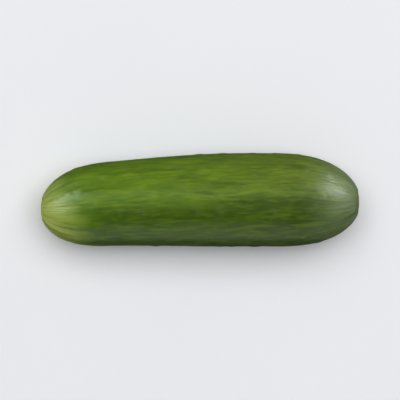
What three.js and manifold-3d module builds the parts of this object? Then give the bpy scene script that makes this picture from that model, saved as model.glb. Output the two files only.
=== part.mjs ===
// A baby cucumber about 90 mm long, as picked, lying on its side.
// Millimetres, +Z up. The blossom end points along -X and the stem end along +X.
// The origin is on the surface that the fruit rests on, under the middle of the fruit.
//
// The fruit grew as one piece, so it is one solid: a bent and tapered body with two rounded
// ends, low ribs that run from end to end, small warts scattered over the skin, the corky
// blossom scar in a shallow dimple at one tip, and the stub of the stem in one at the other.
import * as THREE from "three";
import { mergeVertices } from "three/addons/utils/BufferGeometryUtils.js";
import Module from "manifold-3d";

const wasm = await Module();
wasm.setup();

// The body. "Along" is the share of the way from the blossom tip (0) to the stem tip (1).
const LENGTH = 90; // from the blossom scar to the end of the stem stub
const BLOSSOM_HALF_WIDTH = 11.6;
const STEM_HALF_WIDTH = 13.1;
const WIDENING_FROM = 0.08; // along, where the body starts to widen
const WIDENING_TO = 0.62; // along, where it reaches its full width
const BLOSSOM_DOME = 19.5; // length of the rounded blossom end
const STEM_DOME = 24; // length of the rounded stem end
const DOME_POWER = 2.4; // 2 is an ellipse, more is a dome that flows into the body
const BOW = 2.7; // how far the blossom end bends sideways
const BOW_CREST = 0.68; // along, where the bend starts
const REST_DEPTH = 0.42; // how far the flat spot underneath cuts into the round body

// The relief that runs from end to end
const CARPELS = 3; // seed chambers, which make the section slightly three-cornered
const CARPEL_HEIGHT = 0.2;
const RIBS = 10;
const RIB_HEIGHT = 0.09;
const DOWN = -Math.PI / 2; // the direction round the body that points at the ground

// The warts
const WARTS = 104;
const WART_FROM = 0.07; // along, where the first warts stand
const WART_TO = 0.93;
const WART_RADIUS = [1.15, 1.6]; // smallest and largest
const WART_HEIGHT = [0.13, 0.21];
const WART_SHOULDER = { radius: 0.6, height: 0.75 }; // shares of the wart's own sizes
const WART_ROOT = 0.8; // how far a wart reaches into the body
const WART_SIDES = 6;
const BARE_ANGLE = 0.42; // no warts this near, in radians, to the middle of the flat spot
// Steps of an even scatter: each wart is this share of a turn and of the length further on,
// and is then shifted a little, by shares that step in the same way
const SCATTER_ROUND = 0.7548776662;
const SCATTER_ALONG = 0.569840291;
const SCATTER_SIZE = 0.6180339887;
const SHIFT_STEP_ROUND = 0.4142135624;
const SHIFT_STEP_ALONG = 0.7320508076;
const SHIFT_ROUND = 0.3; // radians
const SHIFT_ALONG = 0.035;

// The two ends. An inset is how far the finished tip lies inside the dome's own apex.
const BLOSSOM_INSET = 0.3;
const BLOSSOM_DIMPLE = { radius: 3.4, depth: 0.6 };
const BLOSSOM_SCAR_RADIUS = 2.1;
const BLOSSOM_SCAR_EDGE = { inner: 0.7, depth: 0.3 }; // its rounding: share of the radius, depth
const BLOSSOM_PIT = { outer: 0.3, rim: 0.04, depth: 0.2 }; // share of the radius, depths
const STEM_INSET = 0.35;
const STEM_DIMPLE = { radius: 3.8, depth: 0.9 };
const STEM_STUB_RADIUS = 1.9;
const STEM_STUB_OVAL = 0.8; // height of the stub as a share of its width
const STEM_STUB_EDGE = { inner: 0.8, depth: 0.2 };
const STEM_STUB_DISH = 0.15; // depth of its hollow
const SCAR_ROOT = 2.5; // how far a scar reaches into the body
const SCAR_SIDES = 12;

// The mesh of the body
const SIDES = 60;
const RINGS = 36;
const SAME_POINT = 1e-5; // corners nearer than this are one
const SHORT_STEP = 0.001; // along and in radians, to find the way that the skin faces
const GROUND_DEPTH = 10;

const BLOSSOM_APEX = -LENGTH / 2 - BLOSSOM_INSET;
const STEM_APEX = LENGTH / 2 + STEM_INSET;
const SPAN = STEM_APEX - BLOSSOM_APEX;

// Half width of the body at a place along it, before its ends are rounded
function fullHalfWidth(along) {
  const widened = THREE.MathUtils.smoothstep(along, WIDENING_FROM, WIDENING_TO);
  return THREE.MathUtils.lerp(BLOSSOM_HALF_WIDTH, STEM_HALF_WIDTH, widened);
}

// Share of the full width that a rounded end has at a distance from its apex
function domeShare(distance, dome) {
  const left = Math.max(0, (dome - distance) / dome);
  return Math.sqrt(Math.max(0, 1 - left ** DOME_POWER));
}

// How far a dimple draws the skin in at a distance from the axis
function dimpleDepth(offAxis, dimple) {
  const edge = Math.max(0, 1 - (offAxis / dimple.radius) ** 2);
  return dimple.depth * edge * edge;
}

// Height of the carpels' corners and of the ribs. A hollow between two ribs faces down.
function relief(around) {
  const corners = CARPEL_HEIGHT * Math.cos(CARPELS * (around - DOWN));
  const ribs = RIB_HEIGHT * Math.cos(RIBS * (around - DOWN));
  return -corners - ribs;
}

// The middle of the body: it bends sideways, and rises with the body's width
function middle(along) {
  const bend = ((along - BOW_CREST) / BOW_CREST) ** 2;
  return { y: -BOW * bend, z: fullHalfWidth(along) - REST_DEPTH };
}

// A point of the skin
function skin(along, around) {
  const fromBlossom = along * SPAN;
  const fromStem = SPAN - fromBlossom;
  const rounded = domeShare(fromBlossom, BLOSSOM_DOME) * domeShare(fromStem, STEM_DOME);
  const radius = rounded * (fullHalfWidth(along) + relief(around));
  const drawnIn =
    along < 0.5 ? dimpleDepth(radius, BLOSSOM_DIMPLE) : -dimpleDepth(radius, STEM_DIMPLE);
  const centre = middle(along);
  return new THREE.Vector3(
    BLOSSOM_APEX + fromBlossom + drawnIn,
    centre.y + radius * Math.cos(around),
    centre.z + radius * Math.sin(around),
  );
}

// Outward direction of the skin, from two short steps on it
function skinNormal(along, around) {
  const lengthwise = skin(along + SHORT_STEP, around).sub(skin(along - SHORT_STEP, around));
  const crosswise = skin(along, around + SHORT_STEP).sub(skin(along, around - SHORT_STEP));
  return crosswise.cross(lengthwise).normalize();
}

// A closed three.js geometry as a solid that can be joined and cut
function toSolid(geometry) {
  geometry.deleteAttribute("normal");
  geometry.deleteAttribute("uv");
  const merged = mergeVertices(geometry, SAME_POINT);
  const corners = [];
  for (let i = 0; i < merged.index.count; i += 3) {
    const [a, b, c] = [0, 1, 2].map((k) => merged.index.getX(i + k));
    if (a !== b && b !== c && c !== a) corners.push(a, b, c);
  }
  const vertProperties = Float32Array.from(merged.attributes.position.array);
  const triVerts = Uint32Array.from(corners);
  return new wasm.Manifold(new wasm.Mesh({ numProp: 3, vertProperties, triVerts }));
}

// A solid as a three.js geometry with flat faces
function toGeometry(solid) {
  const mesh = solid.getMesh();
  const geometry = new THREE.BufferGeometry();
  geometry.setAttribute("position", new THREE.BufferAttribute(mesh.vertProperties, 3));
  geometry.setIndex(new THREE.BufferAttribute(mesh.triVerts, 1));
  geometry.computeVertexNormals();
  return geometry;
}

// The body: a sphere whose every point is moved to its place on the skin. The sphere's
// rings lie closer together towards its poles, which round the two tips.
function body() {
  const geometry = new THREE.SphereGeometry(1, SIDES, RINGS);
  const { position, uv } = geometry.attributes;
  for (let i = 0; i < position.count; i += 1) {
    const along = (1 + Math.cos(Math.PI * (1 - uv.getY(i)))) / 2;
    const place = skin(along, 2 * Math.PI * uv.getX(i));
    position.setXYZ(i, place.x, place.y, place.z);
  }
  return toSolid(geometry);
}

// A wart: a low dome on a root that tapers into the body
function wart(along, around, size) {
  const radius = THREE.MathUtils.lerp(...WART_RADIUS, size);
  const height = THREE.MathUtils.lerp(...WART_HEIGHT, size);
  const profile = [
    new THREE.Vector2(0, -WART_ROOT),
    new THREE.Vector2(radius, 0),
    new THREE.Vector2(WART_SHOULDER.radius * radius, WART_SHOULDER.height * height),
    new THREE.Vector2(0, height),
  ];
  const geometry = new THREE.LatheGeometry(profile, WART_SIDES);
  const up = new THREE.Vector3(0, 1, 0);
  geometry.applyQuaternion(
    new THREE.Quaternion().setFromUnitVectors(up, skinNormal(along, around)),
  );
  const place = skin(along, around);
  geometry.translate(place.x, place.y, place.z);
  return toSolid(geometry);
}

// All the warts, in an even scatter that keeps clear of the two tips and the flat spot
function warts() {
  const placed = [];
  for (let i = 1; i <= WARTS; i += 1) {
    const share = (step) => (i * step) % 1;
    const shiftRound = SHIFT_ROUND * (share(SHIFT_STEP_ROUND) - 0.5);
    const shiftAlong = SHIFT_ALONG * (share(SHIFT_STEP_ALONG) - 0.5);
    const fromDown = 2 * Math.PI * (share(SCATTER_ROUND) - 0.5) + shiftRound;
    const along = THREE.MathUtils.lerp(WART_FROM, WART_TO, share(SCATTER_ALONG)) + shiftAlong;
    if (Math.abs(fromDown) < BARE_ANGLE) continue;
    placed.push(wart(along, DOWN + fromDown, share(SCATTER_SIZE)));
  }
  return placed;
}

// The corky blossom scar: a low button with a pit in its middle
function blossomScar() {
  const r = BLOSSOM_SCAR_RADIUS;
  const profile = [
    new THREE.Vector2(0, -SCAR_ROOT),
    new THREE.Vector2(r, -SCAR_ROOT),
    new THREE.Vector2(r, -BLOSSOM_SCAR_EDGE.depth),
    new THREE.Vector2(BLOSSOM_SCAR_EDGE.inner * r, 0),
    new THREE.Vector2(BLOSSOM_PIT.outer * r, -BLOSSOM_PIT.rim),
    new THREE.Vector2(0, -BLOSSOM_PIT.depth),
  ];
  const geometry = new THREE.LatheGeometry(profile, SCAR_SIDES);
  geometry.rotateZ(Math.PI / 2);
  const centre = middle(0);
  geometry.translate(-LENGTH / 2, centre.y, centre.z);
  return toSolid(geometry);
}

// The stub of the stem, broken off level and slightly dished
function stemStub() {
  const r = STEM_STUB_RADIUS;
  const profile = [
    new THREE.Vector2(0, -SCAR_ROOT),
    new THREE.Vector2(r, -SCAR_ROOT),
    new THREE.Vector2(r, -STEM_STUB_EDGE.depth),
    new THREE.Vector2(STEM_STUB_EDGE.inner * r, 0),
    new THREE.Vector2(0, -STEM_STUB_DISH),
  ];
  const geometry = new THREE.LatheGeometry(profile, SCAR_SIDES);
  geometry.rotateZ(-Math.PI / 2);
  geometry.scale(1, 1, STEM_STUB_OVAL);
  const centre = middle(1);
  geometry.translate(LENGTH / 2, centre.y, centre.z);
  return toSolid(geometry);
}

// Everything below the surface that the fruit lies on
function ground() {
  const geometry = new THREE.BoxGeometry(2 * LENGTH, LENGTH, GROUND_DEPTH);
  geometry.translate(0, 0, -GROUND_DEPTH / 2);
  return toSolid(geometry);
}

let fruit = body();
for (const piece of [...warts(), blossomScar(), stemStub()]) fruit = fruit.add(piece);
fruit = fruit.subtract(ground());

const cucumber = new THREE.Mesh(
  toGeometry(fruit),
  new THREE.MeshStandardMaterial({ color: 0x5a7a22, roughness: 0.42, metalness: 0 }),
);
cucumber.name = "cucumber";

const part = new THREE.Group();
part.add(cucumber);

export default part;
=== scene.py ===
"""A baby cucumber as picked, lying on its side on a pale floor under soft studio light.

The fruit's form follows a rule from its blossom tip to its stem tip, so Geometry Nodes grow
it: a body that widens and bows, ribs, warts, and the scars at its two ends. "Along" is the
share of the way from the blossom tip (0) to the stem tip (1), and "around" is the angle
round the body, which is -90 degrees where the fruit rests.
"""

import math

import bpy
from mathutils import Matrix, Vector


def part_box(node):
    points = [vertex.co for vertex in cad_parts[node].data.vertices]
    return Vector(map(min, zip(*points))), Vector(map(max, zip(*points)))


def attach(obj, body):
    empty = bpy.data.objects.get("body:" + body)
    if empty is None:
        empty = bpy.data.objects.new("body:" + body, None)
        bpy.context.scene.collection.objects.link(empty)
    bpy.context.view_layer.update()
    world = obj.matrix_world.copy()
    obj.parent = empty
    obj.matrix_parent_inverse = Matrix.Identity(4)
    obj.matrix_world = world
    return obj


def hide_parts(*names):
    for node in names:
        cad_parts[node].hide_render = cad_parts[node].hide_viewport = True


bl_info = {
    "name": "Baby Cucumber",
    "version": (1, 0, 0),
    "blender": (4, 5, 0),
    "location": "View3D > Sidebar > Cucumber",
    "description": "Grows a baby cucumber and sets it on a pale floor under studio light",
    "category": "Add Mesh",
}

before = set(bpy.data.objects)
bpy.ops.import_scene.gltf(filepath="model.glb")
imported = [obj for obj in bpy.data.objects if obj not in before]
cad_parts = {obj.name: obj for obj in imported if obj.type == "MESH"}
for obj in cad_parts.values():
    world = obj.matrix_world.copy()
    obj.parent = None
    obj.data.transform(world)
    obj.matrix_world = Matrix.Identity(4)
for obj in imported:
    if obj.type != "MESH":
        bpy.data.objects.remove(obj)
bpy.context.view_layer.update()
cad_low, cad_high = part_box("cucumber")

MM = 0.001
DOWN = -math.pi / 2
CARPELS = 3
RIBS = 10
PALE_LIT_SIDE = math.radians(35)  # the paler side, towards the key light: partly a paler skin tone, partly painted light
WART_SPREAD = 1.35  # a wart's foot fades out this far past its radius
EVEN_NEAR_AXIS = (2 * MM, 8 * MM)  # off the axis, where the unevenness fades in
SCAR_RAGGEDNESS = 0.22  # how far a scar's edge strays, as a share of its radius
# A scar gives way to skin between these shares of its radius, from all of it to none
SCAR_FADE = (0.97, 1.07, 1.0, 0.0)
SCAR_INSET = 0.06 * MM  # a scar's face lies this far in, so its grit keeps to the length
FLOOR_HALF = 1.5  # metres
LIGHTS_AIM = 12 * MM  # height that the lights point at, the middle of the fruit
# The bright wall on the near side (-Y), which only reflections see: Y of the direction
# to its middle and to its edge, and its brightness at the two
NEAR_WALL = (-1.0, -0.84, 3.0, 0.1)


def from_hex(text):
    """The linear colour, with alpha, of an sRGB hex value."""
    parts = [int(text[i : i + 2], 16) / 255 for i in (1, 3, 5)]
    bent = [p / 12.92 if p <= 0.04045 else ((p + 0.055) / 1.055) ** 2.4 for p in parts]
    return (*bent, 1.0)


def size(name, description, millimetres):
    """A length that a user would change, given in millimetres."""
    return bpy.props.FloatProperty(
        name=name,
        description=description,
        default=millimetres * MM,
        min=0.0,
        precision=5,
        subtype="DISTANCE",
        unit="LENGTH",
    )


def share(name, description, default):
    """A number from 0 to 1 that a user would change."""
    return bpy.props.FloatProperty(
        name=name, description=description, default=default, min=0.0, max=1.0, subtype="FACTOR"
    )


def count(name, description, default):
    """A whole number that a user would change."""
    return bpy.props.IntProperty(name=name, description=description, default=default, min=3)


def colour(name, description, hex_value):
    """A colour that a user would change."""
    return bpy.props.FloatVectorProperty(
        name=name,
        description=description,
        default=from_hex(hex_value),
        size=4,
        min=0.0,
        max=1.0,
        subtype="COLOR",
    )


class CucumberForm(bpy.types.PropertyGroup):
    """The sizes of the fruit. Each is an input of the node tree that grows it."""

    length: size("Length", "From scar to stub", (cad_high[0] - cad_low[0]) / MM)
    blossom_half_width: size("Blossom half width", "Near the blossom end", 11.6)
    stem_half_width: size("Stem half width", "Over the stem half", 13.1)
    widening_from: share("Widening from", "Along, where it starts to widen", 0.08)
    widening_to: share("Widening to", "Along, where it has its full width", 0.62)
    blossom_dome: size("Blossom dome", "Length of the rounded blossom end", 19.5)
    stem_dome: size("Stem dome", "Length of the rounded stem end", 24.0)
    dome_power: bpy.props.FloatProperty(
        name="Dome power",
        description="2 is an ellipse, more is a fuller dome",
        default=2.4,
        min=1.0,
    )
    bow: size("Bow", "How far the blossom end bends sideways", 2.7)
    bow_crest: share("Bow crest", "Along, where the bend starts", 0.68)
    rest_depth: size("Rest depth", "How far the flat spot cuts into the body", 0.42)
    carpel_height: size("Carpel height", "Height of the three soft corners", 0.2)
    rib_height: size("Rib height", "Height of the ribs", 0.09)
    warts: count("Warts", "Number of warts in the scatter", 104)
    wart_from: share("Wart from", "Along, where the warts start", 0.07)
    wart_to: share("Wart to", "Along, where the warts end", 0.93)
    wart_radius_low: size("Smallest wart", "Radius of the smallest wart", 1.15)
    wart_radius_high: size("Largest wart", "Radius of the largest wart", 1.6)
    wart_height_low: size("Lowest wart", "Height of the lowest wart", 0.13)
    wart_height_high: size("Highest wart", "Height of the highest wart", 0.21)
    undulation: size("Undulation", "Height of the broad unevenness", 0.16)
    pebble: size("Pebble", "Height of the fine pebbling", 0.07)
    wrinkle: size("Wrinkle", "Height of the fine lengthwise lines", 0.035)
    blossom_inset: size("Blossom inset", "How far the scar lies inside the dome", 0.3)
    blossom_dimple_radius: size("Blossom dimple radius", "Round the blossom scar", 3.4)
    blossom_dimple_depth: size("Blossom dimple depth", "Round the blossom scar", 0.6)
    blossom_scar_radius: size("Blossom scar", "Radius of the corky scar", 2.1)
    stem_inset: size("Stem inset", "How far the stub lies inside the dome", 0.35)
    stem_dimple_radius: size("Stem dimple radius", "Round the stub", 3.8)
    stem_dimple_depth: size("Stem dimple depth", "Round the stub", 0.9)
    stem_stub_radius: size("Stem stub", "Half the stub's width", 1.9)
    stem_stub_oval: share("Stub oval", "The stub's height as a share of its width", 0.8)
    sides: count("Sides", "Faces round the body", 240)
    rings: count("Rings", "Rings of faces from tip to tip", 400)
    seed: count("Seed", "Draw of the unevenness and the pebbling", 7)


class CucumberColours(bpy.types.PropertyGroup):
    """The colours of the skin and of the scars at its ends."""

    lime: colour("Lime", "Skin at the blossom tip", "#d3df72")
    leaf: colour("Leaf green", "Skin of the blossom third", "#557a02")
    green: colour("Green", "Skin of the middle", "#587904")
    dark: colour("Dark green", "Skin of the stem half", "#5b701f")
    # The darker side's green is partly a darker skin tone and partly painted shade
    dark_shade_side: colour("Shaded side", "Darker side: darker skin and painted shade", "#2d4504")
    # Partly real grey wax and partly painted reflection near the stem
    wax_and_glare: colour("Wax and glare", "Grey wax near the stem", "#84956c")
    pale_line: colour("Pale line", "Lengthwise pale lines", "#78940e")
    dark_line: colour("Dark line", "Lengthwise dark lines", "#2f4a0a")
    speck: colour("Speck", "Tips of warts and small specks", "#8ea552")
    cork: colour("Cork", "Blossom scar", "#d9b67c")
    cork_dark: colour("Dark cork", "Cracks and rim of the scar", "#8a5f34")
    stub: colour("Stub", "Broken stem", "#c9c58a")
    stub_rim: colour("Stub rim", "Dried edge of the stem", "#9c7c46")


class StudioSettings(bpy.types.PropertyGroup):
    """The floor, the light and the camera."""

    floor_colour: colour("Floor", "Pale matt floor", "#f6f7fa")
    floor_worn: colour("Worn floor", "Faint clouds in the floor", "#dadbdf")
    wall_colour: colour("Walls", "Even light from all round", "#f2f4f8")
    camera_distance: size("Camera distance", "From the fruit to the camera", 1000.0)
    view_width: size("View width", "Width of the picture at the fruit", 113.0)
    off_vertical: bpy.props.FloatProperty(
        name="Off vertical",
        description="Lean of the view from straight down, towards the light",
        default=math.radians(4.6),
        subtype="ANGLE",
        unit="ROTATION",
    )
    key_power: bpy.props.FloatProperty(
        name="Key light", description="Power of the main soft light", default=40.0, unit="POWER"
    )
    side_power: bpy.props.FloatProperty(
        name="Side lights", description="Power of the side lights", default=1.7, unit="POWER"
    )
    sky_strength: share("Sky", "Strength of the even light from all round", 0.25)


def add_node(tree, kind, inputs=(), **settings):
    """Adds a node with its settings, and links or sets its inputs by index or name.

    Returns the node's first output.
    """
    node = tree.nodes.new(kind)
    for name, value in settings.items():
        setattr(node, name, value)
    pairs = inputs.items() if isinstance(inputs, dict) else enumerate(inputs)
    for socket, value in pairs:
        if isinstance(value, Wire):
            tree.links.new(value.socket, node.inputs[socket])
        else:
            node.inputs[socket].default_value = value
    return Wire(tree, node)


class Wire:
    """An output of a node in a tree. Wires can be added, multiplied and so on."""

    def __init__(self, tree, node, output=0):
        self.tree = tree
        self.node = node
        self.output = output

    @property
    def socket(self):
        return self.node.outputs[self.output]

    def out(self, output):
        """Another output of the same node, by index or name."""
        return Wire(self.tree, self.node, output)

    def outputs(self):
        """Every output of the same node."""
        return [self.out(index) for index in range(len(self.node.outputs))]

    def worked(self, operation, *others):
        """What an operation of the Math node makes of this and the others."""
        return add_node(self.tree, "ShaderNodeMath", (self, *others), operation=operation)

    def __add__(self, other):
        return self.worked("ADD", other)

    __radd__ = __add__

    def __mul__(self, other):
        return self.worked("MULTIPLY", other)

    __rmul__ = __mul__

    def __sub__(self, other):
        return self.worked("SUBTRACT", other)

    def __rsub__(self, other):
        return add_node(self.tree, "ShaderNodeMath", (other, self), operation="SUBTRACT")

    def __truediv__(self, other):
        return self.worked("DIVIDE", other)

    def __pow__(self, other):
        return self.worked("POWER", other)

    def at_least(self, other):
        return self.worked("MAXIMUM", other)

    def cosine(self):
        return self.worked("COSINE")

    def sine(self):
        return self.worked("SINE")

    def fraction(self):
        return self.worked("FRACT")

    def rise(self, low, high, to_low=0.0, to_high=1.0):
        """A smooth rise from to_low to to_high as this goes from low to high."""
        return add_node(
            self.tree,
            "ShaderNodeMapRange",
            (self, low, high, to_low, to_high),
            interpolation_type="SMOOTHSTEP",
        )


def mixed(amount, first, second):
    """Between the first and the second, by an amount from 0 to 1."""
    return amount * (second - first) + first


def lengthwise(grain, length, width):
    """Pattern coordinates whose units are a length along and a width across, in mm."""
    across = 1 / (width * MM)
    units = (1 / (length * MM), across, across)
    return add_node(
        grain.tree, "ShaderNodeVectorMath", (grain, units), operation="MULTIPLY"
    )


def mottle(grain, length, width, seed, detail=2.0, roughness=0.5):
    """Smooth noise, about 0 to 1, with features of a length and a width in mm."""
    return add_node(
        grain.tree,
        "ShaderNodeTexNoise",
        {
            "Vector": lengthwise(grain, length, width),
            "W": seed,
            "Scale": 1.0,
            "Detail": detail,
            "Roughness": roughness,
        },
        noise_dimensions="4D",
    )


# The form


def full_half_width(form, along):
    """Half width of the body, before its ends are rounded."""
    widened = along.rise(form["widening_from"], form["widening_to"])
    return mixed(widened, form["blossom_half_width"], form["stem_half_width"])


def dome_share(distance, dome, power):
    """Share of the full width that a rounded end has at a distance from its apex."""
    left = ((dome - distance) / dome).at_least(0.0)
    return (1.0 - left**power).at_least(0.0) ** 0.5


def dimple_depth(off_axis, radius, depth):
    """How far a dimple draws the skin in at a distance from the axis."""
    edge = (1.0 - (off_axis / radius) ** 2.0).at_least(0.0)
    return depth * edge * edge


def skin_place(form, along, around):
    """The place of a point of the ribbed skin, and its distance from the axis."""
    span = form["length"] + form["blossom_inset"] + form["stem_inset"]
    from_blossom = along * span
    rounded = dome_share(from_blossom, form["blossom_dome"], form["dome_power"])
    rounded = rounded * dome_share(span - from_blossom, form["stem_dome"], form["dome_power"])
    half_width = full_half_width(form, along)
    corners = form["carpel_height"] * ((around - DOWN) * CARPELS).cosine()
    ribs = form["rib_height"] * ((around - DOWN) * RIBS).cosine()
    off_axis = rounded * (half_width - corners - ribs)

    at_blossom = dimple_depth(
        off_axis, form["blossom_dimple_radius"], form["blossom_dimple_depth"]
    )
    at_stem = dimple_depth(off_axis, form["stem_dimple_radius"], form["stem_dimple_depth"])
    nearer_stem = along.worked("GREATER_THAN", 0.5)
    drawn_in = at_blossom * (1.0 - nearer_stem) - at_stem * nearer_stem
    apex = form["length"] * -0.5 - form["blossom_inset"]

    bend = (along - form["bow_crest"]) / form["bow_crest"]
    sideways = form["bow"] * bend * bend * -1.0
    height = half_width - form["rest_depth"]
    place = (
        apex + from_blossom + drawn_in,
        sideways + off_axis * around.cosine(),
        height + off_axis * around.sine(),
    )
    return add_node(along.tree, "ShaderNodeCombineXYZ", place), off_axis


def marked(geometry, **values):
    """The geometry with named values stored at each of its points."""
    for name, value in values.items():
        geometry = add_node(
            geometry.tree,
            "GeometryNodeStoreNamedAttribute",
            {"Geometry": geometry, "Name": name, "Value": value},
            data_type="FLOAT_VECTOR" if value.socket.type == "VECTOR" else "FLOAT",
            domain="POINT",
        )
    return geometry


SCATTER_ROUND = 0.7548776662  # each wart is this share of a turn on from the one before
SCATTER_ALONG = 0.569840291
SCATTER_SIZE = 0.6180339887
SHIFT_STEP_ROUND = 0.4142135624
SHIFT_STEP_ALONG = 0.7320508076
SHIFT_ROUND = 0.3  # radians
SHIFT_ALONG = 0.035
BARE_ANGLE = 0.42  # radians, no warts this near to the middle of the flat spot


def wart_points(tree, form):
    """A point for each wart, with its size from 0 to 1 in the attribute wart_size."""
    index = add_node(tree, "GeometryNodeInputIndex") + 1.0
    shift_round = ((index * SHIFT_STEP_ROUND).fraction() - 0.5) * SHIFT_ROUND
    shift_along = ((index * SHIFT_STEP_ALONG).fraction() - 0.5) * SHIFT_ALONG
    turn = ((index * SCATTER_ROUND).fraction() - 0.5) * (2 * math.pi)
    from_down = turn + shift_round
    reach = form["wart_to"] - form["wart_from"]
    along = form["wart_from"] + reach * (index * SCATTER_ALONG).fraction() + shift_along
    place, _ = skin_place(form, along, from_down + DOWN)
    points = add_node(tree, "GeometryNodePoints", (form["warts"], place))
    points = marked(points, wart_size=(index * SCATTER_SIZE).fraction())
    near_down = from_down.worked("ABSOLUTE").worked("LESS_THAN", BARE_ANGLE)
    return add_node(
        tree,
        "GeometryNodeDeleteGeometry",
        {"Geometry": points, "Selection": near_down},
        domain="POINT",
    )


def nearest_wart(tree, form, points):
    """How much of a wart is at each point of the skin, from 0 to 1, and the wart's size."""
    here = add_node(tree, "GeometryNodeInputPosition")
    size_there = add_node(tree, "GeometryNodeInputNamedAttribute", {"Name": "wart_size"})
    index = add_node(tree, "GeometryNodeSampleNearest", {"Geometry": points})
    centre, wart_size = [
        add_node(
            tree,
            "GeometryNodeSampleIndex",
            {"Geometry": points, "Value": value, "Index": index},
            data_type=data_type,
        )
        for data_type, value in (("FLOAT_VECTOR", here), ("FLOAT", size_there))
    ]
    apart = add_node(tree, "ShaderNodeVectorMath", (here, centre), operation="DISTANCE")
    radius = mixed(wart_size, form["wart_radius_low"], form["wart_radius_high"]) * WART_SPREAD
    left = (1.0 - (apart.out("Value") / radius) ** 2.0).at_least(0.0)
    return left**2.0, wart_size


def relief(form, grain, off_axis, wart, wart_size):
    """Height of the warts and of the finer unevenness of the skin, off the ribbed form."""
    warts = wart * mixed(wart_size, form["wart_height_low"], form["wart_height_high"])
    broad = mottle(grain, 16, 5, form["seed"], detail=1.0) - 0.5
    fine = mottle(grain, 1.9, 1.5, form["seed"] + 3.0, detail=1.0) - 0.5
    lines = mottle(grain, 14, 0.9, form["seed"] + 5.0, detail=1.0) - 0.5
    uneven = broad * form["undulation"] + fine * form["pebble"] + lines * form["wrinkle"]
    return warts + uneven * off_axis.rise(*EVEN_NEAR_AXIS)


def scars(form, along, around, off_axis, grain):
    """How much cork and how much stub each point has, from 0 to 1, and how far out it is.

    How far out is 0 in the middle of a scar and 1 at its edge.
    """
    ragged = (mottle(grain, 4, 3, 23.0) - 0.5) * SCAR_RAGGEDNESS
    out_blossom = off_axis / form["blossom_scar_radius"] + ragged
    across = around.cosine() ** 2.0
    upright = (around.sine() / form["stem_stub_oval"]) ** 2.0
    out_stem = off_axis * (across + upright) ** 0.5 / form["stem_stub_radius"] + ragged
    nearer_stem = along.worked("GREATER_THAN", 0.5)
    cork = out_blossom.rise(*SCAR_FADE) * (1.0 - nearer_stem)
    stub = out_stem.rise(*SCAR_FADE) * nearer_stem
    return cork, stub, out_blossom * (1.0 - nearer_stem) + out_stem * nearer_stem


def blossom_button(form, outwards, grain):
    """X of the corky scar's face, with a raised ring and a pit in its middle."""
    pit = outwards.rise(0.0, 0.42, 0.22 * MM, 0.0)
    edge = outwards.rise(0.72, 1.0, 0.0, 0.16 * MM)
    grit = (mottle(grain, 1.0, 0.5, 11.0, 4.0) - 0.5) * (0.16 * MM)
    return form["length"] * -0.5 + pit + edge + grit + SCAR_INSET


def stem_button(form, outwards, grain):
    """X of the broken stub's face, dished, with a raised dry rim."""
    dish = outwards.rise(0.0, 0.8, 0.2 * MM, 0.02 * MM)
    edge = outwards.rise(0.86, 1.0, 0.0, 0.14 * MM)
    grit = (mottle(grain, 1.0, 0.6, 17.0, 4.0) - 0.5) * (0.14 * MM)
    return form["length"] * 0.5 - dish - edge + grit - SCAR_INSET


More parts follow.
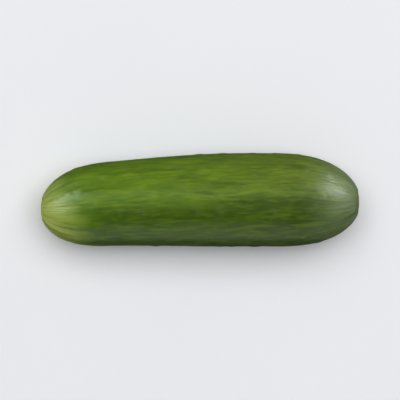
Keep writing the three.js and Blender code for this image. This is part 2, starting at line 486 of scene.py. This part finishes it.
def grow_tree(settings, materials):
    """The node tree of the fruit, and the identifier of its input for each of the sizes."""
    tree = bpy.data.node_groups.new("cucumber_growth", "GeometryNodeTree")
    tree.interface.new_socket("Geometry", in_out="OUTPUT", socket_type="NodeSocketGeometry")
    sockets = {}
    for prop in settings.bl_rna.properties:
        if prop.identifier in ("rna_type", "name"):
            continue
        kind = "NodeSocketInt" if prop.type == "INT" else "NodeSocketFloat"
        socket = tree.interface.new_socket(prop.name, in_out="INPUT", socket_type=kind)
        sockets[prop.identifier] = socket.identifier
    form = dict(zip(sockets, add_node(tree, "NodeGroupInput").outputs()))

    # A sphere gives each point its place along and around, and is then drawn out to the fruit
    here = add_node(tree, "GeometryNodeInputPosition")
    x, y, z = add_node(tree, "ShaderNodeSeparateXYZ", (here,)).outputs()
    geometry = add_node(
        tree,
        "GeometryNodeMeshUVSphere",
        {"Segments": form["sides"], "Rings": form["rings"], "Radius": 1.0},
    )
    geometry = marked(geometry, along=(z + 1.0) * 0.5, around=y.worked("ARCTAN2", x))
    along, around = [
        add_node(tree, "GeometryNodeInputNamedAttribute", {"Name": name})
        for name in ("along", "around")
    ]
    place, off_axis = skin_place(form, along, around)
    geometry = add_node(
        tree, "GeometryNodeSetPosition", {"Geometry": geometry, "Position": place}
    )

    # The patterns follow the grain, which is the skin laid round a straight cylinder
    girth = form["stem_half_width"]
    grain = add_node(
        tree,
        "ShaderNodeCombineXYZ",
        (along * form["length"], girth * around.cosine(), girth * around.sine()),
    )
    wart, wart_size = nearest_wart(tree, form, wart_points(tree, form))
    cork, stub, outwards = scars(form, along, around, off_axis, grain)
    geometry = marked(
        geometry,
        grain=grain,
        rib=((around - DOWN) * RIBS).cosine() * -1.0,
        shaded_side=(around - PALE_LIT_SIDE).cosine(),
        wart=wart,
        cork=cork,
        stub=stub,
        scar_edge=outwards,
    )
    height = relief(form, grain, off_axis, wart, wart_size)
    normal = add_node(tree, "GeometryNodeInputNormal")
    raised = add_node(
        tree, "ShaderNodeVectorMath", {0: normal, "Scale": height}, operation="SCALE"
    )
    geometry = add_node(
        tree, "GeometryNodeSetPosition", {"Geometry": geometry, "Offset": raised}
    )

    # The scars set the two tips to the length, and nothing reaches below the floor
    x, y, z = add_node(tree, "ShaderNodeSeparateXYZ", (here,)).outputs()
    x = mixed(cork, x, blossom_button(form, outwards, grain))
    x = mixed(stub, x, stem_button(form, outwards, grain))
    place = add_node(tree, "ShaderNodeCombineXYZ", (x, y, z.at_least(0.0)))
    geometry = add_node(
        tree, "GeometryNodeSetPosition", {"Geometry": geometry, "Position": place}
    )

    geometry = add_node(tree, "GeometryNodeSetShadeSmooth", {"Geometry": geometry})
    geometry = add_node(tree, "GeometryNodeRealizeInstances", {"Geometry": geometry})
    for material, mask in materials:
        inputs = {"Geometry": geometry, "Material": material}
        if mask:
            mask_there = add_node(tree, "GeometryNodeInputNamedAttribute", {"Name": mask})
            inputs["Selection"] = mask_there.worked("GREATER_THAN", 0.5)
        geometry = add_node(tree, "GeometryNodeSetMaterial", inputs)
    add_node(tree, "NodeGroupOutput", (geometry,))
    return tree, sockets


def plain_mesh(name, tree, inputs):
    """An object at the origin whose mesh is what the node tree makes."""
    piece = bpy.data.objects.new(name, bpy.data.meshes.new(name))
    bpy.context.scene.collection.objects.link(piece)
    modifier = piece.modifiers.new("growth", "NODES")
    modifier.node_group = tree
    for identifier, value in inputs.items():
        modifier[identifier] = value
    graph = bpy.context.evaluated_depsgraph_get()
    mesh = bpy.data.meshes.new_from_object(piece.evaluated_get(graph))
    piece.modifiers.remove(modifier)
    piece.data = mesh
    mesh.name = name
    return piece


# The finishes

GREEN_WANDER = 0.15  # share of the length by which the change of green strays
BORDER_WANDER = 0.3  # how ragged the border of the paler side is
DARK_LINES = 0.54  # strength of each pattern in the skin's colour
PALE_LINES = 0.5
FINE_PALE_LINES = 0.32
BLOTCHES = 0.18
SPECKS = 0.08
WART_TIPS = 0.05


def new_material(name):
    """An empty material and its node tree."""
    material = bpy.data.materials.new(name)
    material.use_nodes = True
    material.node_tree.nodes.clear()
    return material, material.node_tree


def painted(under, *layers):
    """A colour with others laid over it, each by an amount from 0 to 1."""
    for amount, over in layers:
        # The node's sockets for colours are its inputs 6 and 7 and its output 2
        colours = {0: amount, 6: under, 7: over}
        under = add_node(amount.tree, "ShaderNodeMix", colours, data_type="RGBA").out(2)
    return under


def finish(tree, inputs):
    """Ends a material's tree with its principled shader, given the shader's inputs."""
    shader = add_node(tree, "ShaderNodeBsdfPrincipled", inputs)
    add_node(tree, "ShaderNodeOutputMaterial", (shader,))


def waxy_skin(colours):
    """Cucumber skin: smooth and waxy, so highlights are soft but bright.

    Its green runs from lime at the blossom end to dark at the stem, in fine broken lines
    that follow the fruit.
    """
    material, tree = new_material("waxy_cucumber_skin")
    grain = add_node(tree, "ShaderNodeAttribute", attribute_name="grain").out("Vector")
    along, shaded_side, rib, wart = [
        add_node(tree, "ShaderNodeAttribute", attribute_name=name).out("Fac")
        for name in ("along", "shaded_side", "rib", "wart")
    ]

    # The paler side, towards the key light, is partly a paler skin tone and partly painted
    # light; it has a ragged border, and is narrower over the stem half
    border = (mottle(grain, 26, 3, 9.0, 3.0) - 0.5) * BORDER_WANDER
    shaded = shaded_side + border - along.rise(0.5, 0.74, 0.0, 0.18)
    pale_lit_side = shaded.rise(0.5, 0.82)

    # The green changes along the fruit, straying a little, and sooner on the paler side
    wander = along + (mottle(grain, 22, 4, 1.0, 3.0) - 0.5) * GREEN_WANDER
    wander = wander + pale_lit_side * along.rise(0.0, 0.1, 0.03, 0.07)
    ramp = add_node(tree, "ShaderNodeValToRGB", (wander,))
    stops = (
        (0.0, colours.lime),
        (0.16, colours.leaf),
        (0.42, colours.green),
        (0.85, colours.dark),
    )
    elements = ramp.node.color_ramp.elements
    while len(elements) < len(stops):
        elements.new(0.5)
    for element, (place, value) in zip(elements, stops):
        element.position = place
        element.color = value

    # The side away from the key light is darker: partly a darker skin tone, partly painted
    # shade
    dark_shade_side = shaded.rise(0.42, 0.68, 1.0, 0.0)
    shade_and_tone = dark_shade_side * along.rise(0.06, 0.22) * along.rise(0.5, 0.8, 0.62, 0.74)

    # Broken lines, 5 to 11 mm long and 0.8 to 1.5 mm wide
    pale = mottle(grain, 9, 1.4, 2.0, 2.0).rise(0.48, 0.68)
    fine_pale = mottle(grain, 5, 0.8, 3.0, 1.0).rise(0.5, 0.68)
    dark = mottle(grain, 11, 1.5, 4.0, 2.0).rise(0.46, 0.72)
    pale_lines = (pale * PALE_LINES).at_least(fine_pale * FINE_PALE_LINES)

    # Soft blotches, about 5 mm long and 3 mm wide
    blotch = mottle(grain, 5.5, 3, 10.0, 2.0).rise(0.45, 0.65, 0.0, BLOTCHES)

    # Pale rays run out from the blossom tip along the ribs and fade within a quarter
    ray = rib.rise(-0.2, 1.0) * along.rise(0.02, 0.22, 0.35, 0.0)

    # Specks about 1 mm across, and the paler tips of the warts
    scatter = {"Vector": lengthwise(grain, 5.2, 3.8), "Scale": 1.0}
    from_speck = add_node(tree, "ShaderNodeTexVoronoi", scatter).out("Distance")
    speck = from_speck.rise(0.05, 0.16, SPECKS, 0.0)
    tip = wart.rise(0.5, 0.95, 0.0, WART_TIPS)

    # Grey wax, thicker towards the stem, in clouds and streaks: partly real wax bloom, partly a
    # painted reflection
    cloud = mottle(grain, 9, 6, 5.0, 3.0)
    streak = mottle(grain, 6, 0.8, 7.0, 2.0).rise(0.45, 0.65, 1.0, 0.7)
    wax_and_glare = along.rise(0.8, 1.0) * along.rise(0.975, 0.998, 1.0, 0.5) * streak
    wax_and_glare = wax_and_glare * cloud.rise(0.2, 0.6, 0.35, 0.75)

    shade = painted(
        ramp,
        (shade_and_tone, colours.dark_shade_side),
        (dark * DARK_LINES, colours.dark_line),
        (pale_lines * (1.0 - dark_shade_side * 0.4), colours.pale_line),
        (blotch * (1.0 - dark_shade_side * 0.5), colours.pale_line),
        (ray * (1.0 - pale_lit_side * 0.7), colours.pale_line),
        (speck.at_least(tip), colours.speck),
        (wax_and_glare, colours.wax_and_glare),
    )

    # The wax is worn in patches, and its pores are drawn coarser than life to show at all
    worn = mottle(grain, 2.2, 1.6, 6.0, 3.0)
    pores = mottle(grain, 0.9, 0.55, 8.0, 2.0)
    height = pores * 0.6 + fine_pale * 0.4 + pale * 0.3
    bump = {"Height": height, "Distance": 0.08 * MM, "Strength": 0.8}
    inputs = {
        "Base Color": shade,
        "Roughness": worn.rise(0.25, 0.75, 0.33, 0.45) + wax_and_glare * 0.08,
        "IOR": 1.5,
        "Subsurface Weight": 0.12,
        "Subsurface Radius": (0.4, 1.0, 0.15),
        "Subsurface Scale": 1.5 * MM,
        "Coat Weight": 0.06,
        "Coat Roughness": 0.22,
        "Normal": add_node(tree, "ShaderNodeBump", bump),
    }
    finish(tree, inputs)
    return material


def blossom_cork(colours):
    """The dried scar of the flower: dull, cracked, tan cork with a darker rim."""
    material, tree = new_material("dried_blossom_cork")
    grain = add_node(tree, "ShaderNodeAttribute", attribute_name="grain").out("Vector")
    edge = add_node(tree, "ShaderNodeAttribute", attribute_name="scar_edge").out("Fac")
    cracks = mottle(grain, 0.8, 1.6, 12.0, 5.0, 0.65)
    worn = cracks.rise(0.4, 0.58, 0.6, 0.0)
    rim = edge.rise(0.7, 1.0, 0.0, 0.7)
    pit = edge.rise(0.1, 0.38, 0.85, 0.0)
    dark = worn.at_least(rim).at_least(pit)
    bump = {"Height": cracks, "Distance": 0.15 * MM, "Strength": 1.0}
    inputs = {
        "Base Color": painted(colours.cork, (dark, colours.cork_dark)),
        "Roughness": 0.85,
        "Normal": add_node(tree, "ShaderNodeBump", bump),
    }
    finish(tree, inputs)
    return material


def broken_stem(colours):
    """The stub of the stem: pale, fibrous and slightly dry, with a tan rim."""
    material, tree = new_material("broken_stem_fibre")
    grain = add_node(tree, "ShaderNodeAttribute", attribute_name="grain").out("Vector")
    edge = add_node(tree, "ShaderNodeAttribute", attribute_name="scar_edge").out("Fac")
    fibre = mottle(grain, 1.2, 2.2, 14.0, 5.0, 0.6)
    tan = edge.rise(0.68, 0.98, 0.0, 0.85).at_least(fibre.rise(0.5, 0.7, 0.0, 0.6))
    bump = {"Height": fibre, "Distance": 0.12 * MM, "Strength": 1.0}
    inputs = {
        "Base Color": painted(colours.stub, (tan, colours.stub_rim)),
        "Roughness": 0.7,
        "Normal": add_node(tree, "ShaderNodeBump", bump),
    }
    finish(tree, inputs)
    return material


def matt_floor(settings):
    """A painted board: matt, pale and nearly even."""
    material, tree = new_material("matt_painted_board")
    place = add_node(tree, "ShaderNodeTexCoord").out("Object")
    cloud = mottle(place, 60, 60, 0.0, 3.0).rise(0.3, 0.7, 0.0, 0.05)
    shade = painted(settings.floor_colour, (cloud, settings.floor_worn))
    finish(tree, {"Base Color": shade, "Roughness": 0.75})
    return material


# The operators


class MESH_OT_grow_cucumber(bpy.types.Operator):
    """Grow the baby cucumber in the place of its plain solid"""

    bl_idname = "mesh.grow_cucumber"
    bl_label = "Grow Cucumber"

    def execute(self, context):
        form = context.scene.cucumber_form
        colours = context.scene.cucumber_colours
        materials = (
            (waxy_skin(colours), None),
            (blossom_cork(colours), "cork"),
            (broken_stem(colours), "stub"),
        )
        tree, sockets = grow_tree(form, materials)
        inputs = {socket: getattr(form, key) for key, socket in sockets.items()}
        piece = plain_mesh("baby_cucumber", tree, inputs)
        # Only the growth reads these
        for spare in ("around", "cork", "stub"):
            piece.data.attributes.remove(piece.data.attributes[spare])
        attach(piece, "root")
        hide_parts("cucumber")
        return {"FINISHED"}


class SCENE_OT_set_studio(bpy.types.Operator):
    """Lay the pale floor, hang the soft lights and set the camera over the fruit"""

    bl_idname = "scene.set_cucumber_studio"
    bl_label = "Set Studio"

    def execute(self, context):
        studio = context.scene.cucumber_studio
        self.lay_floor(studio)
        self.hang_lights(studio)
        self.light_walls(studio)
        self.set_camera(studio)
        return {"FINISHED"}

    def lay_floor(self, studio):
        """A wide pale board, which reflections don't see."""
        mesh = bpy.data.meshes.new("floor")
        signs = ((-1, -1), (1, -1), (1, 1), (-1, 1))
        corners = [(x * FLOOR_HALF, y * FLOOR_HALF, 0) for x, y in signs]
        mesh.from_pydata(corners, [], [(0, 1, 2, 3)])
        mesh.materials.append(matt_floor(studio))
        floor = bpy.data.objects.new("floor", mesh)
        bpy.context.scene.collection.objects.link(floor)
        floor.visible_glossy = False

    def hang_lights(self, studio):
        """A large soft light above, and two at the sides that only mirror in the wax."""
        target = Vector((0, 0, LIGHTS_AIM))
        # Name, place in metres, width, depth and power
        lights = (
            ("key_softbox", Vector((0.15, 0.62, 2.0)), 2.4, 1.6, studio.key_power),
            ("blossom_side", Vector((-0.56, 0.22, 0.34)), 0.6, 0.48, 2.3 * studio.side_power),
            ("stem_side", Vector((0.55, 0.31, 0.21)), 0.44, 0.36, 2.1 * studio.side_power),
        )
        for name, place, width, depth, power in lights:
            lamp = bpy.data.lights.new(name, "AREA")
            lamp.shape = "RECTANGLE"
            lamp.size = width
            lamp.size_y = depth
            lamp.energy = power
            light = bpy.data.objects.new(name, lamp)
            light.location = place
            light.rotation_euler = (place - target).to_track_quat("Z", "Y").to_euler()
            light.visible_glossy = name != "key_softbox"
            light.visible_diffuse = name == "key_softbox"
            bpy.context.scene.collection.objects.link(light)

    def light_walls(self, studio):
        """An even light from all round, of which reflections see the near wall alone."""
        world = bpy.data.worlds.new("studio_walls")
        world.use_nodes = True
        tree = world.node_tree
        tree.nodes.clear()
        mirrored = add_node(tree, "ShaderNodeLightPath").out("Is Glossy Ray")
        direction = add_node(tree, "ShaderNodeTexCoord").out("Generated")
        _, y, _ = add_node(tree, "ShaderNodeSeparateXYZ", (direction,)).outputs()
        strength = mixed(mirrored, 1.0, y.rise(*NEAR_WALL)) * studio.sky_strength
        walls = add_node(
            tree, "ShaderNodeBackground", {"Color": studio.wall_colour, "Strength": strength}
        )
        add_node(tree, "ShaderNodeOutputWorld", (walls,))
        bpy.context.scene.world = world
        bpy.context.scene.view_settings.view_transform = "Standard"

    def set_camera(self, studio):
        """A camera almost straight above the fruit, as in the photograph."""
        target = (Vector(cad_low) + Vector(cad_high)) / 2
        lean = studio.off_vertical
        direction = Vector((0, math.sin(lean), math.cos(lean)))
        data = bpy.data.cameras.new("camera")
        data.sensor_width = 36.0
        data.lens = data.sensor_width * studio.camera_distance / studio.view_width
        data.clip_start = 0.01
        camera = bpy.data.objects.new("camera", data)
        camera.location = target + direction * studio.camera_distance
        camera.rotation_euler = (-lean, 0, 0)
        bpy.context.scene.collection.objects.link(camera)
        bpy.context.scene.camera = camera


class VIEW3D_PT_cucumber(bpy.types.Panel):
    """Lists the cucumber's sizes and colours, the studio, and the buttons that make them"""

    bl_idname = "VIEW3D_PT_cucumber"
    bl_label = "Cucumber"
    bl_space_type = "VIEW_3D"
    bl_region_type = "UI"
    bl_category = "Cucumber"

    def draw(self, context):
        layout = self.layout
        for operator, settings in (
            (MESH_OT_grow_cucumber, context.scene.cucumber_form),
            (MESH_OT_grow_cucumber, context.scene.cucumber_colours),
            (SCENE_OT_set_studio, context.scene.cucumber_studio),
        ):
            box = layout.box()
            for prop in settings.bl_rna.properties:
                if prop.identifier not in ("rna_type", "name"):
                    box.prop(settings, prop.identifier)
            box.operator(operator.bl_idname)


CLASSES = (
    CucumberForm,
    CucumberColours,
    StudioSettings,
    MESH_OT_grow_cucumber,
    SCENE_OT_set_studio,
    VIEW3D_PT_cucumber,
)
SETTINGS = {
    "cucumber_form": CucumberForm,
    "cucumber_colours": CucumberColours,
    "cucumber_studio": StudioSettings,
}


def register():
    for cls in CLASSES:
        bpy.utils.register_class(cls)
    for name, kind in SETTINGS.items():
        setattr(bpy.types.Scene, name, bpy.props.PointerProperty(type=kind))


def unregister():
    for name in SETTINGS:
        delattr(bpy.types.Scene, name)
    for cls in reversed(CLASSES):
        bpy.utils.unregister_class(cls)


def main():
    register()
    bpy.ops.scene.set_cucumber_studio()
    bpy.ops.mesh.grow_cucumber()


if __name__ == "__main__":
    main()
